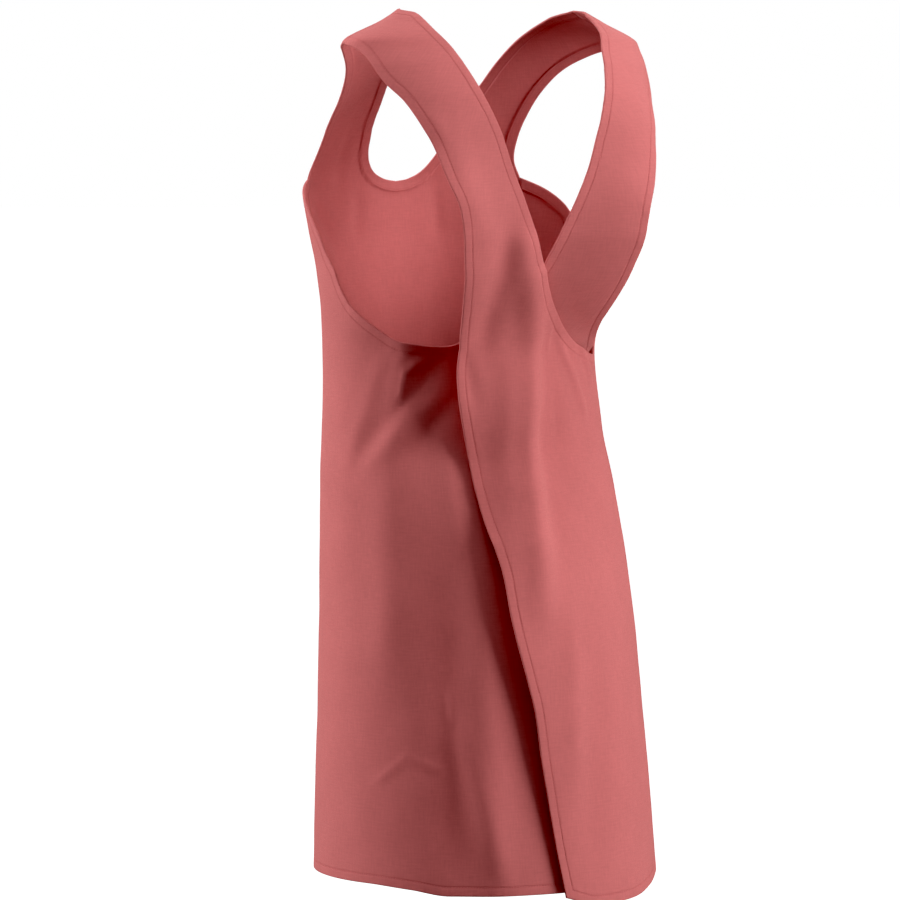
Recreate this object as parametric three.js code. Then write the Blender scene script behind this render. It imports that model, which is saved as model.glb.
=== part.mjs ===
// Cross back apron of plain woven cloth, in the form that it takes when it is worn.
// Millimetres, +Z up. The wearer faces -Y, and the wearer's left is +X.
// The origin is midway between the two shoulder straps, level with their highest point.
import * as THREE from 'three';
import { mergeVertices } from 'three/addons/utils/BufferGeometryUtils.js';

// Widths are half of the real width, and fronts and backs are measured from the shoulder line.
const NECK_HALF = 100;
const SHOULDER_HALF = 171;
const CHEST_HALF = 166;
const WAIST_HALF = 145.5;
const HEM_HALF = 178;
const CHEST_FRONT = 178;
const CHEST_BACK = 111;
const WAIST_FRONT = 163;
const WAIST_BACK = 48;
const HEM_FRONT = 168;
const HEM_BACK = 152;

// Drops are measured down from the shoulder: to the crossing of the straps, and to the lowest hem.
const CROSSING_DROP = 260;
const APRON_LENGTH = 890;

const CLOTH = 1.6;
const HEM_CLOTH = 2.6;
const HEM_WIDTH = 11;
const HEM_STEP = 2;
const SEAM_GAP = 0.3;
const MERGE_DISTANCE = 0.001;
const FREE_STAND = 38;
const FOLD_DEPTH = 10;
const CLOTH_COLOUR = 0xc2646a;

const STRAP_COLUMNS = 7;
const STRAP_SAMPLES = 40;
const ROWS_PER_LINE = 1;
const BODY_ROWS = 13;
const SETTLING = 1.7;
const EDGE_SETTLING = 3;
const FOLD_FADE = 0.25;

const degrees = THREE.MathUtils.degToRad;
const mix = THREE.MathUtils.lerp;
const smoothstep = THREE.MathUtils.smoothstep;

// Heights are given as levels: 0 is the shoulder, 1 the crossing of the straps, 2 the lowest hem.
const levelToDrop = (level) => (
  Math.min(level, 1) * CROSSING_DROP + Math.max(level - 1, 0) * (APRON_LENGTH - CROSSING_DROP));

// The body that the cloth hangs round, one row for each height.
const FORM = [
  // level, half width, front, back, squareness of the front, squareness of the back
  [0.00, 1.00 * NECK_HALF, 0.11 * CHEST_FRONT, 0.20 * CHEST_BACK, 2.0, 2.0],
  [0.055, 1.24 * NECK_HALF, 0.24 * CHEST_FRONT, 0.47 * CHEST_BACK, 2.0, 2.0],
  [0.14, 0.972 * SHOULDER_HALF, 0.38 * CHEST_FRONT, 0.65 * CHEST_BACK, 2.0, 2.0],
  [0.23, 1.00 * SHOULDER_HALF, 0.52 * CHEST_FRONT, 0.79 * CHEST_BACK, 2.0, 2.3],
  [0.35, 0.994 * SHOULDER_HALF, 0.69 * CHEST_FRONT, 0.92 * CHEST_BACK, 2.1, 2.7],
  [0.485, 0.982 * SHOULDER_HALF, 0.86 * CHEST_FRONT, 0.985 * CHEST_BACK, 2.3, 3.1],
  [0.69, 1.00 * CHEST_HALF, 1.00 * CHEST_FRONT, 1.00 * CHEST_BACK, 2.5, 3.4],
  [0.85, 0.963 * CHEST_HALF, 0.994 * CHEST_FRONT, 0.955 * CHEST_BACK, 2.4, 3.2],
  [1.00, 0.926 * CHEST_HALF, 0.966 * CHEST_FRONT, 0.83 * CHEST_BACK, 2.2, 2.6],
  [1.135, 1.00 * WAIST_HALF, 1.00 * WAIST_FRONT, 1.00 * WAIST_BACK, 2.0, 2.0],
  [1.254, 1.034 * WAIST_HALF, 0.98 * WAIST_FRONT, 1.21 * WAIST_BACK, 2.0, 2.0],
  [1.35, 0.877 * HEM_HALF, 0.965 * HEM_FRONT, 0.527 * HEM_BACK, 2.0, 2.0],
  [1.54, 0.91 * HEM_HALF, 0.988 * HEM_FRONT, 0.716 * HEM_BACK, 2.0, 2.0],
  [1.78, 0.958 * HEM_HALF, 1.00 * HEM_FRONT, 0.878 * HEM_BACK, 2.0, 2.0],
  [2.00, 1.00 * HEM_HALF, 1.00 * HEM_FRONT, 1.00 * HEM_BACK, 2.0, 2.0],
];

// Places on the body have an angle in degrees: 0 is the left side, 90 the back, 180 the right side
// and 270 the front. Stand is how far the cloth stands off the body, as a share of FREE_STAND.

// The side seams, as a place at their top and the level of their foot.
const SEAM_ANGLE = 220;
const SEAM_TOP = 0.662;
const SEAM_FOOT = 1.952;
const SEAM_STAND = 0.01;

// The strap is a row of lines across it, from its arm side to its neck side. Below the last line
// the panel's top edge goes on round the underarm to the side seam. Its near edge hangs free down
// the back, and its foot runs from there to the seam.
const STRAP_TOP = [
  // arm side: angle, level, stand, neck side: angle, level, stand
  [-3, 0.145, 0.06, -4, 0.010, 0.06],
  [4, 0.160, 0.07, 4, 0.018, 0.07],
  [10.6, 0.196, 0.08, 12, 0.034, 0.08],
  [20, 0.288, 0.09, 26, 0.095, 0.10],
  [30, 0.365, 0.13, 38, 0.165, 0.10],
  [38.6, 0.454, 0.24, 48.5, 0.250, 0.08],
  [45.3, 0.550, 0.36, 58, 0.354, 0.05],
  [50.9, 0.670, 0.48, 66, 0.470, 0.02],
  [53.9, 0.754, 0.60, 72, 0.600, 0.00],
];
const OUTER = {
  strap: [
    ...STRAP_TOP,
    [55.4, 0.850, 0.71, 77.5, 0.719, 0.00],
    [56.0, 0.954, 0.79, 83, 0.838, 0.00],
    [56.7, 1.025, 0.84, 89.5, 0.981, 0.11],
    [57.4, 1.078, 0.90, 96, 1.041, 0.29],
    [57.7, 1.122, 0.97, 109.5, 1.087, 0.32],
  ],
  topEdge: [
    // angle, level, stand
    [109.5, 1.087, 0.32],
    [118, 1.107, 0.31],
    [126.3, 1.122, 0.30],
    [134.3, 1.132, 0.27],
    [141, 1.138, 0.24],
    [148, 1.139, 0.17],
    [155, 1.122, 0.09],
    [163, 1.088, 0.05],
    [171, 1.052, 0.05],
    [180, 1.010, 0.05],
    [187, 0.946, 0.05],
    [191.5, 0.882, 0.05],
    [196.5, 0.826, 0.04],
    [203, 0.760, 0.03],
    [211, 0.705, 0.02],
    [SEAM_ANGLE, SEAM_TOP, SEAM_STAND],
  ],
  nearEdge: [
    // level, angle, stand
    [1.122, 57.7, 0.97],
    [1.164, 56.6, 1.00],
    [1.198, 56.8, 0.93],
    [1.247, 57.8, 0.62],
    [1.279, 58.7, 0.36],
    [1.302, 59.4, 0.22],
    [1.330, 60.1, 0.17],
    [1.356, 61.4, 0.16],
    [1.380, 62.7, 0.20],
    [1.404, 64.3, 0.28],
    [1.429, 66.2, 0.40],
    [1.478, 68.7, 0.53],
    [1.529, 70, 0.59],
    [1.580, 72.1, 0.57],
    [1.631, 74.7, 0.52],
    [1.687, 77.2, 0.46],
    [1.749, 78.5, 0.38],
    [1.816, 80.4, 0.31],
    [1.888, 82.6, 0.26],
    [1.971, 85.6, 0.23],
  ],
  foot: [
    // angle, level, stand
    [85.6, 1.971, 0.23],
    [100, 1.988, 0.20],
    [118, 1.986, 0.16],
    [134, 1.976, 0.08],
    [147, 1.965, 0.05],
    [SEAM_ANGLE, SEAM_FOOT, SEAM_STAND],
  ],
  folds: [
    // from: angle, level, to: angle, level, width, height
    [71, 0.840, 66, 1.120, 1.7, -0.5],
    [77, 0.860, 92, 1.110, 2.2, 0.8],
    [93.5, 1.120, 84, 1.500, 2, 1.1],
    [83, 1.130, 76, 1.460, 3.2, 1.0],
    [106, 1.640, 96, 1.920, 2.6, -0.3],
  ],
};
const INNER = {
  strap: [
    ...STRAP_TOP,
    [55.4, 0.850, 0.71, 77.5, 0.719, -0.02],
    [55.8, 0.940, 0.79, 83, 0.845, -0.04],
    [55, 1.045, 0.79, 89.5, 0.996, -0.04],
    [50.6, 1.090, 0.60, 96, 1.044, 0.00],
    [38.1, 1.124, 0.27, 109.5, 1.090, 0.04],
  ],
  topEdge: [
    [109.5, 1.090, 0.04],
    [124, 1.116, 0.05],
    [134, 1.119, 0.05],
    [141, 1.116, 0.05],
    [150, 1.109, 0.05],
    [160, 1.086, 0.05],
    [168.4, 1.063, 0.05],
    [173, 1.048, 0.05],
    [180.4, 1.010, 0.05],
    [187, 0.946, 0.05],
    [191, 0.882, 0.05],
    [196, 0.826, 0.04],
    [202, 0.765, 0.03],
    [211, 0.704, 0.02],
    [SEAM_ANGLE, SEAM_TOP, SEAM_STAND],
  ],
  nearEdge: [
    [1.124, 38.1, 0.27],
    [1.137, 34.6, 0.08],
    [1.150, 34.2, -0.02],
    [1.170, 37, -0.06],
    [1.232, 46, -0.04],
    [1.318, 52, 0.03],
    [1.396, 58, 0.03],
    [1.500, 66.5, 0.03],
    [1.610, 72.5, 0.03],
    [1.765, 79.5, 0.03],
    [1.965, 86, 0.03],
  ],
  foot: [
    [86, 1.965, 0.03],
    [135, 1.965, 0.02],
    [148, 1.957, 0.01],
    [165, 1.952, 0.01],
    [SEAM_ANGLE, SEAM_FOOT, SEAM_STAND],
  ],
  folds: [
    [131, 1.135, 170, 1.305, 1.3, -0.18],
    [132, 1.192, 163, 1.305, 1.2, 0.2],
    [152, 1.300, 156, 1.620, 2.6, 0.4],
    [136, 1.480, 131, 1.940, 2.3, -0.55],
    [122, 1.520, 118.5, 1.940, 2.3, 0.55],
  ],
};
// The right half of the front. Its strap comes forward over the shoulder to the top of the seam,
// its near edge is the seam, its top edge the neckline, and its far edge the centre line.
const FRONT = {
  strap: [
    [183, 0.145, 0.06, 184, 0.010, 0.06],
    [194, 0.175, 0.05, 201, 0.045, 0.06],
    [205, 0.235, 0.05, 220, 0.115, 0.05],
    [214, 0.325, 0.04, 233, 0.205, 0.04],
    [219.5, 0.425, 0.04, 241, 0.300, 0.04],
    [222, 0.510, 0.03, 245.5, 0.375, 0.04],
    [222.5, 0.590, 0.02, 248, 0.430, 0.04],
    [SEAM_ANGLE, SEAM_TOP, SEAM_STAND, 250, 0.480, 0.04],
  ],
  topEdge: [
    [250, 0.480, 0.04],
    [253, 0.560, 0.04],
    [258, 0.630, 0.03],
    [264, 0.664, 0.03],
    [270, 0.675, 0.03],
  ],
  nearEdge: [
    [SEAM_TOP, SEAM_ANGLE, SEAM_STAND],
    [SEAM_FOOT, SEAM_ANGLE, SEAM_STAND],
  ],
  foot: [
    [SEAM_ANGLE, SEAM_FOOT, SEAM_STAND],
    [270, 1.965, 0.03],
  ],
  folds: [
    [246, 1.25, 248, 1.93, 3.4, 0.8],
    [262, 1.40, 262, 1.93, 3.2, -0.6],
  ],
};

// A smooth curve through the rows of a table that doesn't overshoot between them.
function readTable(table, at) {
  const last = table.length - 1;
  const x = THREE.MathUtils.clamp(at, table[0][0], table[last][0]);
  let i = 0;
  while (i < last - 1 && x > table[i + 1][0]) i += 1;
  const step = (k) => table[k + 1][0] - table[k][0];
  const t = (x - table[i][0]) / step(i);
  return table[i].slice(1).map((_, c) => {
    const slope = (k) => (table[k + 1][c + 1] - table[k][c + 1]) / step(k);
    const tangent = (k) => {
      if (k === 0) return slope(0);
      if (k === last) return slope(last - 1);
      const [before, after] = [slope(k - 1), slope(k)];
      if (before * after <= 0) return 0;
      const weightBefore = 2 * step(k) + step(k - 1);
      const weightAfter = step(k) + 2 * step(k - 1);
      return (weightBefore + weightAfter) / (weightBefore / before + weightAfter / after);
    };
    const [low, high] = [table[i][c + 1], table[i + 1][c + 1]];
    return (1 + 2 * t) * (1 - t) ** 2 * low + t * (1 - t) ** 2 * step(i) * tangent(i)
      + t * t * (3 - 2 * t) * high + t * t * (t - 1) * step(i) * tangent(i + 1);
  });
}

// The values between the rows of a table, on a smooth curve through them, at row number s.
function readStations(table, s) {
  const last = table.length - 1;
  const i = Math.min(Math.floor(s), last - 1);
  const t = s - i;
  const row = (k) => {
    if (k < 0) return table[0].map((value, c) => 2 * value - table[1][c]);
    if (k > last) return table[last].map((value, c) => 2 * value - table[last - 1][c]);
    return table[k];
  };
  const [p0, p1, p2, p3] = [row(i - 1), row(i), row(i + 1), row(i + 2)];
  return p1.map((value, c) => 0.5 * (2 * value + (p2[c] - p0[c]) * t
    + (2 * p0[c] - 5 * value + 4 * p2[c] - p3[c]) * t * t
    + (3 * value - p0[c] - 3 * p2[c] + p3[c]) * t ** 3));
}

const FORM_BY_DROP = FORM.map(([level, ...sizes]) => [levelToDrop(level), ...sizes]);

// The point of the cloth at a place. The body's section at a height is a rounded oval, whose front
// half and back half may be more or less square.
function clothPoint({ angle, drop, stand }, folds) {
  const [half, front, back, squareFront, squareBack] = readTable(FORM_BY_DROP, drop);
  const middle = (back - front) / 2;
  const deep = (back + front) / 2;
  const [along, across] = [Math.cos(degrees(angle)), Math.sin(degrees(angle))];
  const square = across > 0 ? squareBack : squareFront;
  const oval = (Math.abs(along / half) ** square + Math.abs(across / deep) ** square) ** (-1 / square);
  const reach = oval + stand + foldHeight(folds, angle, drop);
  return new THREE.Vector3(reach * along, middle + reach * across, -drop);
}

// The height of all folds at a place on the unrolled body. Each is a soft ridge along a straight
// line, or a hollow where its height is negative, and fades out beyond both its ends.
function foldHeight(folds, angle, drop) {
  const place = new THREE.Vector2(degrees(angle) * HEM_HALF, drop);
  return folds.reduce((height, [fromAngle, fromLevel, toAngle, toLevel, width, rise]) => {
    const start = new THREE.Vector2(degrees(fromAngle) * HEM_HALF, levelToDrop(fromLevel));
    const end = new THREE.Vector2(degrees(toAngle) * HEM_HALF, levelToDrop(toLevel));
    const line = end.sub(start);
    const away = place.clone().sub(start);
    const along = away.dot(line) / line.lengthSq();
    const beside = away.cross(line) / line.length() / (width * FOLD_DEPTH);
    const fade = smoothstep(along, -FOLD_FADE, FOLD_FADE) * smoothstep(1 - along, -FOLD_FADE, FOLD_FADE);
    return height + rise * FOLD_DEPTH * fade * Math.exp(-beside * beside);
  }, 0);
}

const toPlace = (angle, level, stand) => ({ angle, drop: levelToDrop(level), stand: stand * FREE_STAND });

// The places along one line across a strap, closer together at its two hems.
function strapLine([fromAngle, fromLevel, fromStand, toAngle, toLevel, toStand], folds) {
  const from = toPlace(fromAngle, fromLevel, fromStand);
  const to = toPlace(toAngle, toLevel, toStand);
  const between = (t) => ({
    angle: mix(from.angle, to.angle, t),
    drop: mix(from.drop, to.drop, t),
    stand: mix(to.stand, from.stand, (1 - t) ** SETTLING),
  });
  const samples = Array.from({ length: STRAP_SAMPLES + 1 }, (_, k) => (
    clothPoint(between(k / STRAP_SAMPLES), folds)));
  const length = samples.slice(1).reduce((sum, point, k) => sum + point.distanceTo(samples[k]), 0);
  const hem = HEM_WIDTH / length;
  const inside = (HEM_WIDTH + HEM_STEP) / length;
  const middle = Array.from({ length: STRAP_COLUMNS }, (_, k) => mix(inside, 1 - inside, k / (STRAP_COLUMNS - 1)));
  return [0, hem, ...middle, 1 - hem, 1].map(between);
}

// The places of a whole panel, as rows from the shoulder to the foot. The rows of the strap end at
// the neck, and the longer rows below them, from the number strapRows on, reach the far edge.
function panelPlaces({ strap, topEdge, nearEdge, foot, folds }) {
  const strapRows = (strap.length - 1) * ROWS_PER_LINE;
  const rows = Array.from({ length: strapRows }, (_, k) => (
    strapLine(readStations(strap, k / ROWS_PER_LINE), folds)));
  const edgeColumns = (topEdge.length - 1) * ROWS_PER_LINE;
  const edge = Array.from({ length: edgeColumns }, (_, k) => (
    toPlace(...readStations(topEdge, (k + 1) / ROWS_PER_LINE))));
  const top = [...strapLine(strap[strap.length - 1], folds), ...edge];
  rows.push(top);

  const near = nearEdge.map(([level, ...place]) => [levelToDrop(level), ...place]);
  const [first, last] = [foot[0][0], foot[foot.length - 1][0]];
  const bottom = top.map(({ angle }) => {
    const share = (angle - top[0].angle) / (top[top.length - 1].angle - top[0].angle);
    const footAngle = mix(first, last, share);
    return { share, ...toPlace(footAngle, ...readTable(foot, footAngle)) };
  });
  const hangingRow = (dropBetween) => top.map((start, c) => {
    const end = bottom[c];
    const drop = dropBetween(start.drop, end.drop);
    const s = (drop - start.drop) / (end.drop - start.drop);
    const [angle, stand] = readTable(near, mix(top[0].drop, bottom[0].drop, s));
    const angleAway = angle - mix(top[0].angle, bottom[0].angle, s);
    const standAway = stand * FREE_STAND - mix(top[0].stand, bottom[0].stand, s);
    return {
      angle: mix(start.angle, end.angle, s) + (1 - end.share) * angleAway,
      drop,
      stand: mix(start.stand, end.stand, s) + (1 - end.share) ** EDGE_SETTLING * standAway,
    };
  });
  for (let k = 0; k < BODY_ROWS; k += 1) {
    const share = k / (BODY_ROWS - 1);
    rows.push(hangingRow((high, low) => mix(high + HEM_WIDTH, low - HEM_WIDTH, share)));
  }
  rows.push(hangingRow((high, low) => low));
  return { rows, strapRows };
}

const SHOULDER_SEAM_FACES = new THREE.Vector3(0, 1, 0);
const CENTRE_FACES = new THREE.Vector3(1, 0, 0);
const SIDE_SEAM_FACES = new THREE.Vector3(-Math.sin(degrees(SEAM_ANGLE)), Math.cos(degrees(SEAM_ANGLE)), 0);

// A wall of cloth behind a panel's points, which are in rows that run to the left seen from
// outside. The wall goes inwards, and is thicker along its hems and seams. Where it meets another
// wall it doesn't lean towards it. A half panel has its side seam along its near edge, and stays
// open along its far edge, where it meets its mirrored half.
function clothWall(rows, strapRows, isHalf) {
  const at = (r, c) => (rows[r] ? rows[r][c] : undefined);
  const meets = (r, c) => {
    if (r === 0) return SHOULDER_SEAM_FACES;
    if (r < strapRows || (c > 0 && c < rows[r].length - 1)) return undefined;
    if (c === 0) return isHalf ? SIDE_SEAM_FACES : undefined;
    return isHalf ? CENTRE_FACES : SIDE_SEAM_FACES;
  };
  const inward = (r, c) => {
    const here = at(r, c);
    const across = (at(r, c + 1) ?? here).clone().sub(at(r, c - 1) ?? here);
    const down = (at(r + 1, c) ?? here).clone().sub(at(r - 1, c) ?? here);
    const normal = across.cross(down);
    const faces = meets(r, c);
    return (faces ? normal.projectOnPlane(faces) : normal).normalize();
  };
  const strapWidth = rows[0].length;
  const isHem = (r, c) => {
    const atStrapEnd = r <= strapRows && c > strapWidth - 3;
    const atTopEdge = r === strapRows + 1 && c > strapWidth - 2;
    const atFarEdge = !isHalf && r > strapRows && c === rows[r].length - 1;
    return c < 2 || atStrapEnd || atTopEdge || atFarEdge || r > rows.length - 3;
  };
  const starts = rows.map((_, r) => rows.slice(0, r).reduce((sum, row) => sum + row.length, 0));
  const outside = rows.flat();
  const inside = rows.flatMap((row, r) => row.map((point, c) => (
    point.clone().addScaledVector(inward(r, c), isHem(r, c) ? HEM_CLOTH : CLOTH))));
  const faces = [];
  const quad = (a, b, c, d) => faces.push(a, b, c, a, c, d);
  const corners = [];
  for (let r = 0; r < rows.length - 1; r += 1) {
    for (let c = 0; c < rows[r].length - 1; c += 1) {
      corners.push([starts[r] + c, starts[r + 1] + c, starts[r + 1] + c + 1, starts[r] + c + 1]);
    }
  }
  const open = new Map();
  corners.forEach((loop) => {
    quad(...loop);
    quad(...loop.map((k) => k + outside.length).reverse());
    loop.forEach((a, k) => {
      const b = loop[(k + 1) % 4];
      if (!open.delete(`${b} ${a}`)) open.set(`${a} ${b}`, [a, b]);
    });
  });
  const onCentre = (k) => isHalf && outside[k].x === 0;
  [...open.values()].filter(([a, b]) => !(onCentre(a) && onCentre(b))).forEach(([a, b]) => {
    quad(b, a, a + outside.length, b + outside.length);
  });
  return { points: [...outside, ...inside], faces };
}

function mirrored({ points, faces }) {
  const turned = [];
  for (let k = 0; k < faces.length; k += 3) turned.push(faces[k], faces[k + 2], faces[k + 1]);
  return { points: points.map((p) => new THREE.Vector3(-p.x, p.y, p.z)), faces: turned };
}

function joined(a, b) {
  return {
    points: [...a.points, ...b.points],
    faces: [...a.faces, ...b.faces.map((k) => k + a.points.length)],
  };
}

function clothMesh(name, { points, faces }) {
  const loose = new THREE.BufferGeometry().setFromPoints(points);
  loose.setIndex(faces);
  const geometry = mergeVertices(loose, MERGE_DISTANCE);
  geometry.computeVertexNormals();
  const material = new THREE.MeshStandardMaterial({ color: CLOTH_COLOUR, roughness: 0.9, metalness: 0 });
  const mesh = new THREE.Mesh(geometry, material);
  mesh.name = name;
  return mesh;
}

// A back panel: its strap, its free edge down the back, and its side seam.
function backWall(panel) {
  const { rows, strapRows } = panelPlaces(panel);
  const points = rows.map((row) => row.map((place) => clothPoint(place, panel.folds)));
  return clothWall(points, strapRows, false);
}

// The front is two mirrored halves. Its seam edges keep a gap to the back panels: it lies forwards
// of them at the shoulder, and towards the front of them at the side.
function frontWall(panel) {
  const { rows, strapRows } = panelPlaces(panel);
  const points = rows.map((row) => row.map((place) => clothPoint(place, panel.folds)));
  points[0].forEach((point) => point.setY(point.y - SEAM_GAP));
  points.forEach((row, r) => {
    if (rows[r][0].drop < levelToDrop(SEAM_TOP)) return;
    row[0].addScaledVector(row[1].clone().sub(row[0]).normalize(), SEAM_GAP);
  });
  points.slice(strapRows).forEach((row) => row[row.length - 1].setX(0));
  const half = clothWall(points, strapRows, true);
  return joined(half, mirrored(half));
}

const apron = new THREE.Group();
apron.add(clothMesh('front_panel', frontWall(FRONT)));
apron.add(clothMesh('outer_back_panel', backWall(OUTER)));
apron.add(clothMesh('inner_back_panel', mirrored(backWall(INNER))));
export default apron;
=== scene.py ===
"""A cross back apron of coral woven cloth, in the form that it takes when it is worn."""
import bmesh
import bpy
import math
import numpy as np
from mathutils import Matrix, Vector, kdtree, noise


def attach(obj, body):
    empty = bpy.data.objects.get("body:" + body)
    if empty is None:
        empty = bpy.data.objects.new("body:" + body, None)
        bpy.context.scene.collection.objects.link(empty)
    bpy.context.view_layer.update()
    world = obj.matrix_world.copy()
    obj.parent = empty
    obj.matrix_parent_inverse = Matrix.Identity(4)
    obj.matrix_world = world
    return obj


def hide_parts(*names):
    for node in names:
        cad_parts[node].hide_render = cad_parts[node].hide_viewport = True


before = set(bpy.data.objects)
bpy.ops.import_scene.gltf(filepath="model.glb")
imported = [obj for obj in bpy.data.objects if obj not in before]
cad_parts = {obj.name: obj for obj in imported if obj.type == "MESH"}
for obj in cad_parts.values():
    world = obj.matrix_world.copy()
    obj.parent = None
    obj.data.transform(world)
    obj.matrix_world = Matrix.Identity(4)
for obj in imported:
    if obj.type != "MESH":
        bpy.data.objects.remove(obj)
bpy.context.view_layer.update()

# Outer back panel
# The left shoulder strap and the panel that it widens into, one flat piece of coral canvas.
# It crosses the back on the outside and goes round to the right side seam. All its free edges
# are turned under twice and stitched, and its arm side hangs free down the back.
MM = 0.001

# Half widths, fronts and backs of the body, and drops from the shoulder, in millimetres.
NECK_HALF = 100
SHOULDER_HALF = 171
CHEST_HALF = 166
WAIST_HALF = 145.5
HEM_HALF = 178
CHEST_FRONT = 178
CHEST_BACK = 111
WAIST_FRONT = 163
WAIST_BACK = 48
HEM_FRONT = 168
HEM_BACK = 152
CROSSING_DROP = 260
APRON_LENGTH = 890

# How far free cloth stands off the body, how deep folds are and how they fade at their ends, how
# soon the cloth settles beside a free edge, and where the side seams lie.
FREE_STAND = 38
FOLD_DEPTH = 10
FOLD_FADE = 0.25
SETTLING = 1.7
EDGE_SETTLING = 3
SEAM_ANGLE = 220
SEAM_TOP = 0.662
SEAM_FOOT = 1.952
SEAM_STAND = 0.01

# The cloth's thickness, its turned hem, and how far the stitches lie from a hem's edge and a seam.
CANVAS = 1.0
TURNED_HEM = 1.4
HEM_WIDTH = 11
STITCH_LINE = 9
SEAM_STITCHES = 5
THREAD_STAND = 0.12

# The relief of the cloth in millimetres: heights, reaches from a line, and lengths along it.
GROOVE_DEPTH = 0.34
GROOVE_REACH = 0.7
PUCKER_DEPTH = 0.42
PUCKER_REACH = 5
PUCKER_LENGTH = 6.5
LONG_PUCKER_SHARE = 0.6
LONG_PUCKER_SLANT = 0.8
LONG_PUCKER_REACH = 9
LONG_PUCKER_LENGTH = 15
WAVE_HEIGHT = 0.9
WAVE_LENGTH = 95
RIPPLE_HEIGHT = 0.35
RIPPLE_LENGTH = 34
FLAT_BESIDE_SEAM = 30
FLAT_BESIDE_HEM = 40
SEAM_DEPTH = 0.5
SEAM_REACH = 1.1
SEAM_FROM_EDGE = 3
HEM_STEP = 0.3

# The grid of points on the cloth: columns across a strap, rows between two lines of a table,
# steps along a top edge, the spacing below, and the lines inside a hem.
STRAP_SAMPLES = 40
STRAP_COLUMNS = 22
ROWS_PER_LINE = 9
STEPS_PER_EDGE = 8
GRID = 3.4
LINES_IN_HEM = (0, 0.25, 0.6, 1.1, 2.2, 4.2, 6.2, 7.6, 8.3, 9.0, 9.7, 10.4, 10.9, 11.3, 12.2, 14.4)

# The body that the cloth hangs round, one row for each height.
FORM = [
    # level, half width, front, back, squareness of the front, squareness of the back
    [0.00, 1.00 * NECK_HALF, 0.11 * CHEST_FRONT, 0.20 * CHEST_BACK, 2.0, 2.0],
    [0.055, 1.24 * NECK_HALF, 0.24 * CHEST_FRONT, 0.47 * CHEST_BACK, 2.0, 2.0],
    [0.14, 0.972 * SHOULDER_HALF, 0.38 * CHEST_FRONT, 0.65 * CHEST_BACK, 2.0, 2.0],
    [0.23, 1.00 * SHOULDER_HALF, 0.52 * CHEST_FRONT, 0.79 * CHEST_BACK, 2.0, 2.3],
    [0.35, 0.994 * SHOULDER_HALF, 0.69 * CHEST_FRONT, 0.92 * CHEST_BACK, 2.1, 2.7],
    [0.485, 0.982 * SHOULDER_HALF, 0.86 * CHEST_FRONT, 0.985 * CHEST_BACK, 2.3, 3.1],
    [0.69, 1.00 * CHEST_HALF, 1.00 * CHEST_FRONT, 1.00 * CHEST_BACK, 2.5, 3.4],
    [0.85, 0.963 * CHEST_HALF, 0.994 * CHEST_FRONT, 0.955 * CHEST_BACK, 2.4, 3.2],
    [1.00, 0.926 * CHEST_HALF, 0.966 * CHEST_FRONT, 0.83 * CHEST_BACK, 2.2, 2.6],
    [1.135, 1.00 * WAIST_HALF, 1.00 * WAIST_FRONT, 1.00 * WAIST_BACK, 2.0, 2.0],
    [1.254, 1.034 * WAIST_HALF, 0.98 * WAIST_FRONT, 1.21 * WAIST_BACK, 2.0, 2.0],
    [1.35, 0.877 * HEM_HALF, 0.965 * HEM_FRONT, 0.527 * HEM_BACK, 2.0, 2.0],
    [1.54, 0.91 * HEM_HALF, 0.988 * HEM_FRONT, 0.716 * HEM_BACK, 2.0, 2.0],
    [1.78, 0.958 * HEM_HALF, 1.00 * HEM_FRONT, 0.878 * HEM_BACK, 2.0, 2.0],
    [2.00, 1.00 * HEM_HALF, 1.00 * HEM_FRONT, 1.00 * HEM_BACK, 2.0, 2.0],
]

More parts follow.
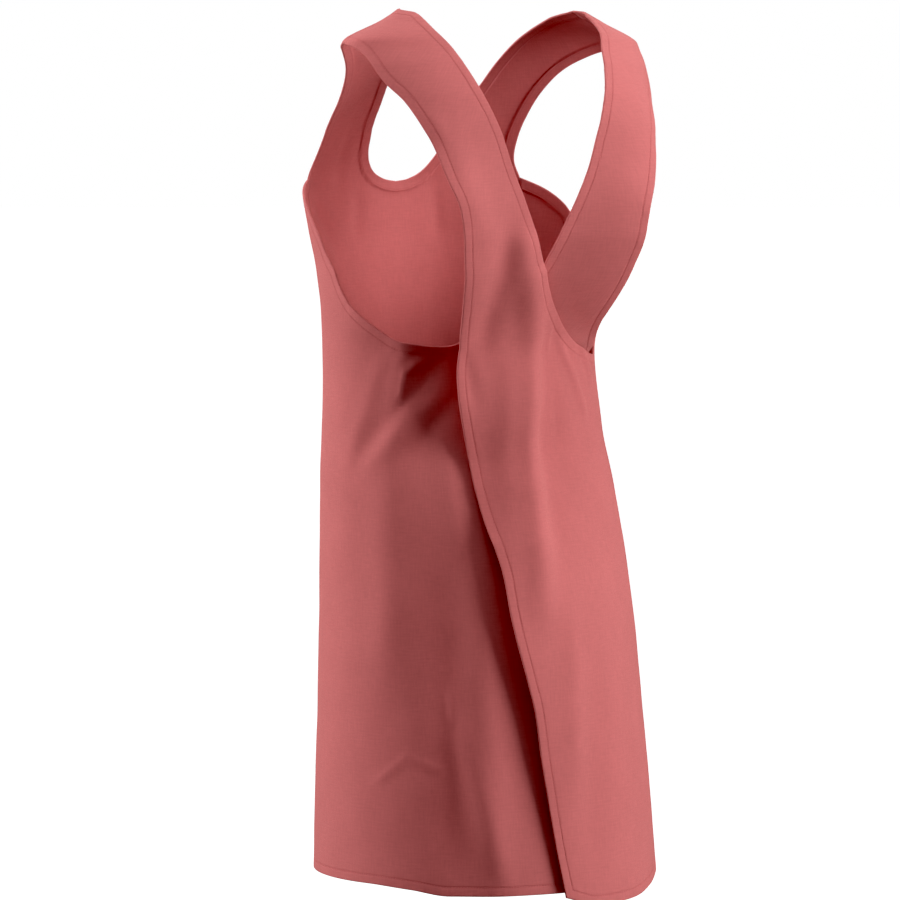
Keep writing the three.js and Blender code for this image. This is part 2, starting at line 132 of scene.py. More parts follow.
# Places on the body have an angle in degrees: 0 is the left side, 90 the back, 180 the right side.
# Stand is how far the cloth stands off the body, as a share of FREE_STAND.
STRAP_TOP = [
    # arm side: angle, level, stand, neck side: angle, level, stand
    [-3, 0.145, 0.06, -4, 0.010, 0.06],
    [4, 0.160, 0.07, 4, 0.018, 0.07],
    [10.6, 0.196, 0.08, 12, 0.034, 0.08],
    [20, 0.288, 0.09, 26, 0.095, 0.10],
    [30, 0.365, 0.13, 38, 0.165, 0.10],
    [38.6, 0.454, 0.24, 48.5, 0.250, 0.08],
    [45.3, 0.550, 0.36, 58, 0.354, 0.05],
    [50.9, 0.670, 0.48, 66, 0.470, 0.02],
    [53.9, 0.754, 0.60, 72, 0.600, 0.00],
]
OUTER = {
    "strap": STRAP_TOP + [
        [55.4, 0.850, 0.71, 77.5, 0.719, 0.00],
        [56.0, 0.954, 0.79, 83, 0.838, 0.00],
        [56.7, 1.025, 0.84, 89.5, 0.981, 0.11],
        [57.4, 1.078, 0.90, 96, 1.041, 0.29],
        [57.7, 1.122, 0.97, 109.5, 1.087, 0.32],
    ],
    "top_edge": [
        # angle, level, stand
        [109.5, 1.087, 0.32], [118, 1.107, 0.31], [126.3, 1.122, 0.30], [134.3, 1.132, 0.27],
        [141, 1.138, 0.24], [148, 1.139, 0.17], [155, 1.122, 0.09], [163, 1.088, 0.05],
        [171, 1.052, 0.05], [180, 1.010, 0.05], [187, 0.946, 0.05], [191.5, 0.882, 0.05],
        [196.5, 0.826, 0.04], [203, 0.760, 0.03], [211, 0.705, 0.02],
        [SEAM_ANGLE, SEAM_TOP, SEAM_STAND],
    ],
    "near_edge": [
        # level, angle, stand
        [1.122, 57.7, 0.97], [1.164, 56.6, 1.00], [1.198, 56.8, 0.93], [1.247, 57.8, 0.62],
        [1.279, 58.7, 0.36], [1.302, 59.4, 0.22], [1.330, 60.1, 0.17], [1.356, 61.4, 0.16],
        [1.380, 62.7, 0.20], [1.404, 64.3, 0.28], [1.429, 66.2, 0.40], [1.478, 68.7, 0.53],
        [1.529, 70, 0.59], [1.580, 72.1, 0.57], [1.631, 74.7, 0.52], [1.687, 77.2, 0.46],
        [1.749, 78.5, 0.38], [1.816, 80.4, 0.31], [1.888, 82.6, 0.26], [1.971, 85.6, 0.23],
    ],
    "foot": [
        # angle, level, stand
        [85.6, 1.971, 0.23], [100, 1.988, 0.20], [118, 1.986, 0.16], [134, 1.976, 0.08],
        [147, 1.965, 0.05], [SEAM_ANGLE, SEAM_FOOT, SEAM_STAND],
    ],
    "folds": [
        # from: angle, level, to: angle, level, width, height
        [71, 0.840, 66, 1.120, 1.7, -0.5],
        [77, 0.860, 92, 1.110, 2.2, 0.8],
        [93.5, 1.120, 84, 1.500, 2, 1.1],
        [83, 1.130, 76, 1.460, 3.2, 1.0],
        [106, 1.640, 96, 1.920, 2.6, -0.3],
    ],
    # Fine wrinkles of the cloth, with the same columns as the folds.
    "wrinkles": [
        [112, 1.120, 123, 1.172, 0.7, 0.22], [123, 1.176, 130, 1.235, 0.7, 0.18],
        [128, 1.118, 139, 1.175, 0.6, 0.18], [60, 1.130, 63, 1.210, 0.8, -0.15],
        [50, 0.500, 64, 0.900, 1.3, 0.22], [44, 0.560, 52, 0.720, 0.7, 0.12],
        [40, 0.400, 47, 0.500, 0.6, 0.10], [101, 1.075, 104, 1.130, 0.6, 0.12],
        [97, 1.500, 93, 1.800, 1.6, 0.22],
    ],
}


def level_to_drop(level):
    """Drops in millimetres. Level 0 is the shoulder, 1 the crossing of the straps, 2 the lowest hem."""
    level = np.asarray(level, float)
    below = np.maximum(level - 1, 0) * (APRON_LENGTH - CROSSING_DROP)
    return np.minimum(level, 1) * CROSSING_DROP + below


def read_table(table, at):
    """A smooth curve through the rows of a table that doesn't overshoot between them."""
    table = np.asarray(table, float)
    x, y = table[:, 0], table[:, 1:]
    at = np.clip(np.asarray(at, float), x[0], x[-1])
    step = np.diff(x)[:, None]
    slope = np.diff(y, axis=0) / step
    tangent = np.empty_like(y)
    tangent[0], tangent[-1] = slope[0], slope[-1]
    before, after = slope[:-1], slope[1:]
    weight_before, weight_after = 2 * step[1:] + step[:-1], step[1:] + 2 * step[:-1]
    same_way = before * after > 0
    inverse = np.where(same_way, weight_before / np.where(same_way, before, 1)
                       + weight_after / np.where(same_way, after, 1), 1)
    tangent[1:-1] = np.where(same_way, (weight_before + weight_after) / inverse, 0)
    i = np.clip(np.searchsorted(x, at, side="right") - 1, 0, len(x) - 2)
    t = ((at - x[i]) / (x[i + 1] - x[i]))[..., None]
    h = (x[i + 1] - x[i])[..., None]
    return ((1 + 2 * t) * (1 - t) ** 2 * y[i] + t * (1 - t) ** 2 * h * tangent[i]
            + t * t * (3 - 2 * t) * y[i + 1] + t * t * (t - 1) * h * tangent[i + 1])


def read_stations(table, s):
    """The values between the rows of a table, on a smooth curve through them, at row number s."""
    table = np.asarray(table, float)
    padded = np.vstack([2 * table[0] - table[1], table, 2 * table[-1] - table[-2]])
    i = int(min(math.floor(s), len(table) - 2))
    t = s - i
    p0, p1, p2, p3 = padded[i:i + 4]
    return 0.5 * (2 * p1 + (p2 - p0) * t + (2 * p0 - 5 * p1 + 4 * p2 - p3) * t * t
                  + (3 * p1 - p0 - 3 * p2 + p3) * t ** 3)


def smoothstep(x, low, high):
    """A soft step from 0 at the low value to 1 at the high one."""
    t = np.clip((x - low) / (high - low), 0, 1)
    return t * t * (3 - 2 * t)


def fold_height(folds, angle, drop):
    """The height of all folds at a place. Each is a soft ridge or hollow along a straight line."""
    across, down = np.radians(angle) * HEM_HALF, drop
    height = np.zeros(np.shape(drop))
    for from_angle, from_level, to_angle, to_level, width, rise in folds:
        ax, ay = math.radians(from_angle) * HEM_HALF, float(level_to_drop(from_level))
        bx, by = math.radians(to_angle) * HEM_HALF, float(level_to_drop(to_level))
        length = math.hypot(bx - ax, by - ay)
        along = ((across - ax) * (bx - ax) + (down - ay) * (by - ay)) / length ** 2
        beside = ((across - ax) * (by - ay) - (down - ay) * (bx - ax)) / length / (width * FOLD_DEPTH)
        fade = smoothstep(along, -FOLD_FADE, FOLD_FADE) * smoothstep(1 - along, -FOLD_FADE, FOLD_FADE)
        height = height + rise * FOLD_DEPTH * fade * np.exp(-beside * beside)
    return height


FORM_BY_DROP = [[float(level_to_drop(row[0])), *row[1:]] for row in FORM]


def cloth_points(places, folds=()):
    """Points of the cloth in millimetres at places of angle, drop and stand."""
    angle, drop, stand = np.moveaxis(np.asarray(places, float), -1, 0)
    half, front, back, square_front, square_back = np.moveaxis(read_table(FORM_BY_DROP, drop), -1, 0)
    middle, deep = (back - front) / 2, (back + front) / 2
    along, across = np.cos(np.radians(angle)), np.sin(np.radians(angle))
    square = np.where(across > 0, square_back, square_front)
    oval = (np.abs(along / half) ** square + np.abs(across / deep) ** square) ** (-1 / square)
    reach = oval + stand + fold_height(folds, angle, drop)
    return np.stack([reach * along, middle + reach * across, -drop], -1)


def to_places(rows):
    """Rows of angle, level and stand as rows of angle, drop and stand, in degrees and millimetres."""
    rows = np.atleast_2d(np.asarray(rows, float))
    return np.stack([rows[:, 0], level_to_drop(rows[:, 1]), rows[:, 2] * FREE_STAND], -1)


def strap_line(ends):
    """The places along one line across a strap, from its arm side to its neck side."""
    start, end = to_places([ends[:3], ends[3:]])

    def between(t):
        t = np.asarray(t, float)[:, None]
        line = start * (1 - t) + end * t
        line[:, 2] = end[2] + (start[2] - end[2]) * (1 - t[:, 0]) ** SETTLING
        return line

    shares = np.linspace(0, 1, STRAP_SAMPLES + 1)
    samples = cloth_points(between(shares))
    arc = np.concatenate([[0], np.cumsum(np.linalg.norm(np.diff(samples, axis=0), axis=1))])
    hem = np.array(LINES_IN_HEM)
    middle = np.linspace(hem[-1], arc[-1] - hem[-1], STRAP_COLUMNS)[1:-1]
    distances = np.concatenate([hem, middle, (arc[-1] - hem)[::-1]])
    return between(np.interp(distances, arc, shares))


def panel_places(panel):
    """The places of a whole panel in rows. Those of the strap are shorter than those below it."""
    strap, top_edge, near_edge, foot = (panel[k] for k in ("strap", "top_edge", "near_edge", "foot"))
    strap_rows = (len(strap) - 1) * ROWS_PER_LINE
    rows = [strap_line(read_stations(strap, k / ROWS_PER_LINE)) for k in range(strap_rows)]
    steps = np.arange(1, (len(top_edge) - 1) * STEPS_PER_EDGE + 1) / STEPS_PER_EDGE
    edge = to_places([read_stations(top_edge, s) for s in steps])
    top = np.vstack([strap_line(strap[-1]), edge])
    rows.append(top)
    near = [[float(level_to_drop(row[0])), row[1], row[2] * FREE_STAND] for row in near_edge]
    share = (top[:, 0] - top[0, 0]) / (top[-1, 0] - top[0, 0])
    foot_angle = foot[0][0] + (foot[-1][0] - foot[0][0]) * share
    end = to_places(np.column_stack([foot_angle, read_table(foot, foot_angle)]))
    span = end[:, 1] - top[:, 1]
    hem = np.array(LINES_IN_HEM[1:])
    middle_rows = int(np.max(span) / GRID)
    shares = np.linspace(0, 1, middle_rows)[1:-1]
    downs = [np.full(len(top), d) for d in hem]
    downs += [hem[-1] + (span - 2 * hem[-1]) * k for k in shares]
    downs += [span - d for d in hem[::-1]] + [span]
    for down in downs:
        s = down / span
        at = top[0, 1] + (end[0, 1] - top[0, 1]) * s
        angle, stand = np.moveaxis(read_table(near, at), -1, 0)
        angle_away = angle - (top[0, 0] + (end[0, 0] - top[0, 0]) * s)
        stand_away = stand - (top[0, 2] + (end[0, 2] - top[0, 2]) * s)
        rows.append(np.stack([
            top[:, 0] + (end[:, 0] - top[:, 0]) * s + (1 - share) * angle_away,
            top[:, 1] + down,
            top[:, 2] + (end[:, 2] - top[:, 2]) * s + (1 - share) ** EDGE_SETTLING * stand_away,
        ], -1))
    return rows, strap_rows


def soft_noise(across, down, size, seed):
    """Smooth noise between about -1 and 1 over the cut cloth."""
    return np.array([noise.noise(Vector((a / size, d / size, seed))) for a, d in zip(across, down)])


def inner_side(flat, starts, count, strap_rows, is_half):
    """The direction from each point to the inner side of the cloth. At a seam and at the centre line
    it doesn't lean towards the panel that it meets there."""
    left, right, up, down = (np.arange(len(flat)) for _ in range(4))
    for r, n in enumerate(count):
        k = starts[r] + np.arange(n)
        left[k[1:]], right[k[:-1]] = k[:-1], k[1:]
        if r > 0:
            shared = np.arange(min(n, count[r - 1]))
            up[starts[r] + shared] = starts[r - 1] + shared
            down[starts[r - 1] + shared] = starts[r] + shared
    inward = np.cross(flat[right] - flat[left], flat[down] - flat[up])
    inward[:count[0], 1] = 0
    near, far = starts[strap_rows:], (starts + count - 1)[strap_rows:]
    seam = near if is_half else far
    turn = math.radians(SEAM_ANGLE)
    facing = np.array([-math.sin(turn), math.cos(turn), 0])
    inward[seam] -= np.outer(inward[seam] @ facing, facing)
    if is_half:
        inward[far, 0] = 0
    return inward / np.linalg.norm(inward, axis=1, keepdims=True)


def edge_lines(starts, count, strap_rows, is_half):
    """The lines of points along the hems, and those along the seams. A half panel has its side seam
    along its near edge, and no hem along its centre line."""
    ends = starts + count - 1
    arm = list(starts[:strap_rows + 1])
    neck = list(ends[:strap_rows])
    neck += [starts[strap_rows] + k for k in range(count[0] - 1, count[strap_rows])]
    foot = list(starts[-1] + np.arange(count[-1]))
    shoulder = list(range(count[0]))
    near, far = list(starts[strap_rows:]), list(ends[strap_rows:])
    if is_half:
        return [arm, neck, foot], [shoulder, near]
    return [arm + near[1:] + foot[1:], neck], [shoulder, far]


def distance_to(lines, flat):
    """How far each point is from the nearest of some lines of points, and how far along it that is."""
    # The runs of two lines lie a metre apart, so that their puckers differ.
    metre = 1000
    samples, runs = [], []
    for line in lines:
        path = flat[line]
        lengths = np.linalg.norm(np.diff(path, axis=0), axis=1)
        run = np.concatenate([[0], np.cumsum(lengths)])
        at = np.linspace(0, run[-1], int(run[-1]) + 2)
        samples.append(np.stack([np.interp(at, run, path[:, c]) for c in range(3)], -1))
        runs.append(at + metre * len(runs))
    samples, runs = np.vstack(samples), np.concatenate(runs)
    tree = kdtree.KDTree(len(samples))
    for k, point in enumerate(samples):
        tree.insert(point, k)
    tree.balance()
    found = [tree.find(point) for point in flat]
    away = np.array([f[2] for f in found])
    away[np.concatenate(lines)] = 0
    return away, runs[[f[1] for f in found]]


def cloth_relief(edge, run, seam_edge, place, seed):
    """How far the cloth is drawn in, and the groove of its stitches. The stitching leaves small
    puckers on both sides of its line, a seam is a narrow dip, and the rest is softly uneven."""
    across, drop = np.radians(place[:, 0]) * HEM_HALF, place[:, 1]
    from_stitches = edge - STITCH_LINE
    groove = np.exp(-(from_stitches / GROOVE_REACH) ** 2)
    pucker = np.exp(-(from_stitches / PUCKER_REACH) ** 2) * soft_noise(run, 0 * run, PUCKER_LENGTH, seed)
    slanted = run + LONG_PUCKER_SLANT * edge
    long_pucker = soft_noise(slanted, 0 * run, LONG_PUCKER_LENGTH, seed + 2)
    pucker += LONG_PUCKER_SHARE * np.exp(-(from_stitches / LONG_PUCKER_REACH) ** 2) * long_pucker
    wave = WAVE_HEIGHT * soft_noise(across, drop, WAVE_LENGTH, seed + 7)
    wave += RIPPLE_HEIGHT * soft_noise(across, drop, RIPPLE_LENGTH, seed + 3)
    wave *= smoothstep(seam_edge, 0, FLAT_BESIDE_SEAM) * smoothstep(edge, 0, FLAT_BESIDE_HEM)
    seam_dip = np.exp(-(seam_edge / SEAM_REACH) ** 2) * (edge > SEAM_FROM_EDGE)
    sink = GROOVE_DEPTH * groove - PUCKER_DEPTH * pucker - wave + SEAM_DEPTH * seam_dip
    return sink, groove


def wall_sides(flat, inward, edge, sink, groove):
    """The points of the cloth's outer and inner side, thicker at the hem, with its edge rounded."""
    hem_cloth = CANVAS + TURNED_HEM
    rounding = 0.5 * hem_cloth
    share_outside, share_inside = 0.49, 0.51
    groove_inside = 0.4
    x = np.clip(1 - edge / rounding, 0, 1)
    rounded = rounding * (1 - np.sqrt(1 - x * x))
    hem = TURNED_HEM * (1 - smoothstep(edge, HEM_WIDTH - HEM_STEP, HEM_WIDTH + HEM_STEP))
    thick = CANVAS + hem - groove_inside * groove
    outer_depth = sink + np.minimum(rounded, share_outside * hem_cloth)
    inner_depth = sink + np.maximum(thick - rounded, share_inside * hem_cloth * (x > 0))
    return flat + inward * outer_depth[:, None], flat + inward * inner_depth[:, None]


def wall_faces(starts, count, strap_rows, is_half):
    """The faces of a wall of cloth: its outer side, its inner side and the rim between them. A half
    panel stays open along its centre line."""
    quads = []
    for r in range(len(count) - 1):
        k = starts[r] + np.arange(count[r] - 1)
        below = starts[r + 1] + np.arange(count[r] - 1)
        quads.append(np.stack([k, below, below + 1, k + 1], -1))
    quads = np.vstack(quads)
    total = sum(count)
    sides = np.vstack([np.stack([quads[:, c], quads[:, (c + 1) % 4]], -1) for c in range(4)]).tolist()
    known = {tuple(side) for side in sides}
    centre = set((starts + count - 1)[strap_rows:].tolist()) if is_half else set()
    rim = [(a, b) for a, b in sides if (b, a) not in known and not {a, b} <= centre]
    return (quads.tolist() + (quads[:, ::-1] + total).tolist()
            + [(b, a, a + total, b + total) for a, b in rim])


def sewn_line(lines, away, distance, outside, inward):
    """Points a distance in from an edge, one on each line of points that leads away from it."""
    found = []
    for line in lines:
        reached = np.nonzero(away[line] >= distance)[0]
        if len(reached) and reached[0] > 0:
            a, b = line[reached[0] - 1], line[reached[0]]
            t = (distance - away[a]) / (away[b] - away[a])
            found.append((outside[a] * (1 - t) + outside[b] * t - THREAD_STAND * inward[b]) * MM)
    return found


def sewn_lines(starts, count, strap_rows, is_half, edge, seam_edge, outside, inward):
    """The lines of stitching on a panel: down its near edge, round its far edges, along its foot,
    and beside the seams of a whole panel, which lie under the stitches of its neighbours."""
    reach = 60
    skipped_above, skipped_below, skipped_beside = 12, 9, 4
    ends, rows = starts + count - 1, len(count)
    near_rows = strap_rows + 1 if is_half else rows
    near = [starts[r] + np.arange(min(reach, count[r])) for r in range(near_rows)]
    far = [ends[r] - np.arange(reach) for r in range(strap_rows)]
    far += [starts[strap_rows:strap_rows + reach] + c for c in range(count[0], count[-1])]
    foot = [starts[rows - 1 - reach:][::-1] + c for c in range(count[-1])]
    sewn = [sewn_line(lines, edge, STITCH_LINE, outside, inward) for lines in (near, far, foot)]
    if is_half:
        return sewn
    side_rows = range(strap_rows + skipped_above, rows - skipped_below)
    side = [ends[r] - np.arange(reach) for r in side_rows]
    shoulder = [starts[:reach] + c for c in range(skipped_beside, count[0] - skipped_beside)]
    for lines in (side, shoulder):
        sewn.append(sewn_line(lines, seam_edge, SEAM_STITCHES, outside, inward))
    return sewn


def panel_mesh(name, panel, is_half=False, is_mirrored=False, seed=1.0):
    """A closed wall of cloth for a panel, with turned hems, and the lines of its stitching. Its map
    is the flat cut of the cloth, and its edge attribute is the distance from the nearest hem."""
    places, strap_rows = panel_places(panel)
    points = [cloth_points(row, panel["folds"] + panel["wrinkles"]) for row in places]
    if is_half:
        for row in points[strap_rows:]:
            row[-1, 0] = 0
    count = np.array([len(row) for row in points])
    starts = np.concatenate([[0], np.cumsum(count)])[:-1]
    flat = np.vstack(points)
    place = np.vstack(places)
    inward = inner_side(flat, starts, count, strap_rows, is_half)
    hems, seams = edge_lines(starts, count, strap_rows, is_half)
    edge, run = distance_to(hems, flat)
    seam_edge, _ = distance_to(seams, flat)
    sink, groove = cloth_relief(edge, run, seam_edge, place, seed)
    outside, inside = wall_sides(flat, inward, edge, sink, groove)
    faces = wall_faces(starts, count, strap_rows, is_half)
    solid = np.vstack([outside, inside]) * MM
    sewn = sewn_lines(starts, count, strap_rows, is_half, edge, seam_edge, outside, inward)
    if is_mirrored:
        solid[:, 0] *= -1
        faces = [face[::-1] for face in faces]
        sewn = [[point * (-1, 1, 1) for point in line] for line in sewn]

    mesh = bpy.data.meshes.new(name)
    mesh.from_pydata(solid.tolist(), [], [list(face) for face in faces])
    loops = np.empty(len(mesh.loops), int)
    mesh.loops.foreach_get("vertex_index", loops)
    cut = np.column_stack([np.radians(place[:, 0]) * HEM_HALF, -place[:, 1]]) * MM
    uv = mesh.uv_layers.new(name="cut")
    uv.data.foreach_set("uv", cut[loops % len(flat)].ravel())
    attribute = mesh.attributes.new("edge", "FLOAT", "POINT")
    attribute.data.foreach_set("value", np.tile(edge, 2).astype(np.float32))
    mesh.polygons.foreach_set("use_smooth", np.ones(len(mesh.polygons), bool))
    mesh.update()
    mesh.validate()
    piece = bpy.data.objects.new(name, mesh)
    bpy.context.scene.collection.objects.link(piece)
    return piece, sewn


outer_panel, outer_seams = panel_mesh("outer_back_cloth", OUTER, seed=1.0)


def group_socket(tree, name, way, kind, value=None):
    """A new input or output of a node tree, with its first value."""
    socket = tree.interface.new_socket(name=name, in_out=way, socket_type=kind)
    if value is not None:
        socket.default_value = value
    return socket


def math_node(tree, kind, *values):
    """The result of one sum in a node tree. Its values are numbers or other nodes' results."""
    node = tree.nodes.new("ShaderNodeMath")
    node.operation = kind
    for slot_number, value in enumerate(values):
        if isinstance(value, (int, float)):
            node.inputs[slot_number].default_value = value
        else:
            tree.links.new(value, node.inputs[slot_number])
    return node.outputs[0]


def plain_weave():
    """Threads that pass over and under each other, each a little uneven, read from the cut cloth."""
    tree = bpy.data.node_groups.new("plain weave", "ShaderNodeTree")
    group_socket(tree, "Cut", "INPUT", "NodeSocketVector")
    group_socket(tree, "Threads per Metre", "INPUT", "NodeSocketFloat", 1400.0)
    group_socket(tree, "Height", "OUTPUT", "NodeSocketFloat")
    group_socket(tree, "Tone", "OUTPUT", "NodeSocketFloat")
    nodes, links = tree.nodes, tree.links
    source, result = nodes.new("NodeGroupInput"), nodes.new("NodeGroupOutput")
    scaled = nodes.new("ShaderNodeVectorMath")
    scaled.operation = "SCALE"
    links.new(source.outputs["Cut"], scaled.inputs[0])
    links.new(source.outputs["Threads per Metre"], scaled.inputs["Scale"])
    split = nodes.new("ShaderNodeSeparateXYZ")
    links.new(scaled.outputs[0], split.inputs[0])
    across, down = split.outputs[0], split.outputs[1]
    rises = []
    for at in (across, down):
        half_turn = math_node(tree, "MULTIPLY", math_node(tree, "FRACT", at), math.pi)
        rises.append(math_node(tree, "SINE", half_turn))
    warp, weft = rises
    total = math_node(tree, "ADD", math_node(tree, "FLOOR", across), math_node(tree, "FLOOR", down))
    is_warp = math_node(tree, "PINGPONG", total, 1.0)
    up = nodes.new("ShaderNodeMix")
    links.new(is_warp, up.inputs[0])
    links.new(weft, up.inputs[2])
    links.new(warp, up.inputs[3])
    uneven = []
    beside, along = 0.42, 0.05
    for stretch in ((beside, along, 1.0), (along, beside, 1.0)):
        mapping = nodes.new("ShaderNodeMapping")
        mapping.inputs["Scale"].default_value = stretch
        links.new(scaled.outputs[0], mapping.inputs[0])
        grain = nodes.new("ShaderNodeTexNoise")
        grain.inputs["Scale"].default_value = 1.0
        grain.inputs["Detail"].default_value = 2.0
        links.new(mapping.outputs[0], grain.inputs["Vector"])
        uneven.append(grain.outputs["Fac"])
    tone = nodes.new("ShaderNodeMix")
    links.new(is_warp, tone.inputs[0])
    links.new(uneven[1], tone.inputs[2])
    links.new(uneven[0], tone.inputs[3])
    slub, least = 0.9, 0.45
    thickness = math_node(tree, "ADD", math_node(tree, "MULTIPLY", tone.outputs[0], slub), least)
    height = math_node(tree, "MULTIPLY", up.outputs[0], thickness)
    links.new(height, result.inputs["Height"])
    links.new(tone.outputs[0], result.inputs["Tone"])
    return tree


WEAVE = plain_weave()
CORAL = (0.625, 0.180, 0.178, 1)
# A darker coral, painted along the stitch line as the shade in its groove.
CORAL_GROOVE_SHADE = (0.50, 0.125, 0.125, 1)


def canvas_material():
    """Matte coral canvas: a plain weave with faint slubs and clouds, and painted shade along the groove
    of its stitch line.
    """
    made = bpy.data.materials.new("coral canvas")
    made.use_nodes = True
    tree = made.node_tree
    nodes, links = tree.nodes, tree.links
    surface = nodes["Principled BSDF"]
    cut = nodes.new("ShaderNodeUVMap")
    cut.uv_map = "cut"
    weave = nodes.new("ShaderNodeGroup")
    weave.node_tree = WEAVE
    links.new(cut.outputs[0], weave.inputs["Cut"])
    cloud = nodes.new("ShaderNodeTexNoise")
    cloud.inputs["Scale"].default_value = 22.0
    cloud.inputs["Detail"].default_value = 3.0
    links.new(cut.outputs[0], cloud.inputs["Vector"])
    weave_share, cloud_share = 0.75, 0.3
    clouds = math_node(tree, "MULTIPLY", cloud.outputs["Fac"], cloud_share)
    tone = math_node(tree, "MULTIPLY_ADD", weave.outputs["Tone"], weave_share, clouds)
    ramp = nodes.new("ShaderNodeValToRGB")
    for stop, position, shade in zip(ramp.color_ramp.elements, (0.25, 0.8), (0.86, 1.08)):
        stop.position = position
        stop.color = tuple(shade * c for c in CORAL[:3]) + (1,)
    links.new(tone, ramp.inputs[0])

    # Painted shade: the base colour turns to a darker coral in a narrow band along the stitch line,
    # standing in for the shade in its groove.
    edge = nodes.new("ShaderNodeAttribute")
    edge.attribute_name = "edge"
    from_stitches = math_node(tree, "SUBTRACT", edge.outputs["Fac"], STITCH_LINE)
    line = nodes.new("ShaderNodeMapRange")
    line.interpolation_type = "SMOOTHSTEP"
    links.new(math_node(tree, "ABSOLUTE", from_stitches), line.inputs["Value"])
    line.inputs["From Min"].default_value = 1.3
    line.inputs["From Max"].default_value = 0.2
    line.inputs["To Min"].default_value = 0.0
    line.inputs["To Max"].default_value = 0.34
    groove_shade = nodes.new("ShaderNodeMix")
    groove_shade.data_type = "RGBA"
    links.new(line.outputs[0], groove_shade.inputs[0])
    links.new(ramp.outputs[0], groove_shade.inputs[6])
    groove_shade.inputs[7].default_value = CORAL_GROOVE_SHADE
    links.new(groove_shade.outputs[2], surface.inputs["Base Color"])
    surface.inputs["Roughness"].default_value = 0.88
    surface.inputs["Specular IOR Level"].default_value = 0.18
    surface.inputs["Sheen Weight"].default_value = 0.22
    surface.inputs["Sheen Roughness"].default_value = 0.45
    surface.inputs["Sheen Tint"].default_value = (0.95, 0.62, 0.58, 1)
    bump = nodes.new("ShaderNodeBump")
    bump.inputs["Strength"].default_value = 0.55
    bump.inputs["Distance"].default_value = 0.0003
    links.new(weave.outputs["Height"], bump.inputs["Height"])
    links.new(bump.outputs[0], surface.inputs["Normal"])
    return made


CANVAS_CLOTH = canvas_material()
outer_panel.data.materials.append(CANVAS_CLOTH)
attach(outer_panel, "root")
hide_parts("outer_back_panel")


# The lockstitch's sizes in metres, and how much its length varies.
STITCH_SIZES = {
    "Stitch Pitch": 0.0029,
    "Stitch Length": 0.0024,
    "Thread Width": 0.00055,
    "Unevenness": 0.08,
}


def lockstitch():
    """Short stitches of thread along a line of points, each dipping into the cloth at both ends."""
    tree = bpy.data.node_groups.new("lockstitch", "GeometryNodeTree")
    group_socket(tree, "Geometry", "INPUT", "NodeSocketGeometry")
    for name, value in STITCH_SIZES.items():
        group_socket(tree, name, "INPUT", "NodeSocketFloat", value)
    group_socket(tree, "Thread", "INPUT", "NodeSocketMaterial")
    group_socket(tree, "Geometry", "OUTPUT", "NodeSocketGeometry")
    nodes, links = tree.nodes, tree.links
    source, result = nodes.new("NodeGroupInput"), nodes.new("NodeGroupOutput")
    curve = nodes.new("GeometryNodeMeshToCurve")
    links.new(source.outputs["Geometry"], curve.inputs["Mesh"])
    even = nodes.new("GeometryNodeResampleCurve")
    even.mode = "LENGTH"
    links.new(curve.outputs[0], even.inputs["Curve"])
    links.new(source.outputs["Stitch Pitch"], even.inputs["Length"])
    thread = nodes.new("GeometryNodeMeshUVSphere")
    thread.inputs["Segments"].default_value = 6
    thread.inputs["Rings"].default_value = 5
    thread.inputs["Radius"].default_value = 0.5
    turn = nodes.new("FunctionNodeAlignRotationToVector")
    turn.axis = "Z"
    along = nodes.new("GeometryNodeInputTangent")
    links.new(along.outputs[0], turn.inputs["Vector"])
    uneven = nodes.new("FunctionNodeRandomValue")
    uneven.data_type = "FLOAT"
    links.new(math_node(tree, "SUBTRACT", 1.0, source.outputs["Unevenness"]), uneven.inputs[2])
    links.new(math_node(tree, "ADD", 1.0, source.outputs["Unevenness"]), uneven.inputs[3])
    uneven.inputs["Seed"].default_value = 5
    length = math_node(tree, "MULTIPLY", source.outputs["Stitch Length"], uneven.outputs[1])
    size = nodes.new("ShaderNodeCombineXYZ")
    links.new(source.outputs["Thread Width"], size.inputs[0])
    links.new(source.outputs["Thread Width"], size.inputs[1])
    links.new(length, size.inputs[2])
    placed = nodes.new("GeometryNodeInstanceOnPoints")
    links.new(even.outputs[0], placed.inputs["Points"])
    links.new(thread.outputs["Mesh"], placed.inputs["Instance"])
    links.new(turn.outputs[0], placed.inputs["Rotation"])
    links.new(size.outputs[0], placed.inputs["Scale"])
    real = nodes.new("GeometryNodeRealizeInstances")
    links.new(placed.outputs[0], real.inputs[0])
    smooth = nodes.new("GeometryNodeSetShadeSmooth")
    links.new(real.outputs[0], smooth.inputs[0])
    dressed = nodes.new("GeometryNodeSetMaterial")
    links.new(smooth.outputs[0], dressed.inputs[0])
    links.new(source.outputs["Thread"], dressed.inputs["Material"])
    links.new(dressed.outputs[0], result.inputs[0])
    return tree


def thread_material():
    """Polyester sewing thread in the colour of the cloth, twisted, with a faint shine."""
    made = bpy.data.materials.new("coral thread")
    made.use_nodes = True
    nodes, links = made.node_tree.nodes, made.node_tree.links
    surface = nodes["Principled BSDF"]
    place = nodes.new("ShaderNodeTexCoord")
    twist = nodes.new("ShaderNodeTexNoise")
    twist.inputs["Scale"].default_value = 2600.0
    links.new(place.outputs["Object"], twist.inputs["Vector"])
    ramp = nodes.new("ShaderNodeValToRGB")
    ramp.color_ramp.elements[0].position = 0.3
    ramp.color_ramp.elements[0].color = (0.56, 0.150, 0.150, 1)
    ramp.color_ramp.elements[1].position = 0.7
    ramp.color_ramp.elements[1].color = (0.70, 0.225, 0.220, 1)
    links.new(twist.outputs["Fac"], ramp.inputs[0])
    links.new(ramp.outputs[0], surface.inputs["Base Color"])
    bump = nodes.new("ShaderNodeBump")
    bump.inputs["Strength"].default_value = 0.4
    bump.inputs["Distance"].default_value = 0.0001
    links.new(twist.outputs["Fac"], bump.inputs["Height"])
    links.new(bump.outputs[0], surface.inputs["Normal"])
    surface.inputs["Roughness"].default_value = 0.6
    surface.inputs["Specular IOR Level"].default_value = 0.3
    return made


LOCKSTITCH = lockstitch()
THREAD = thread_material()


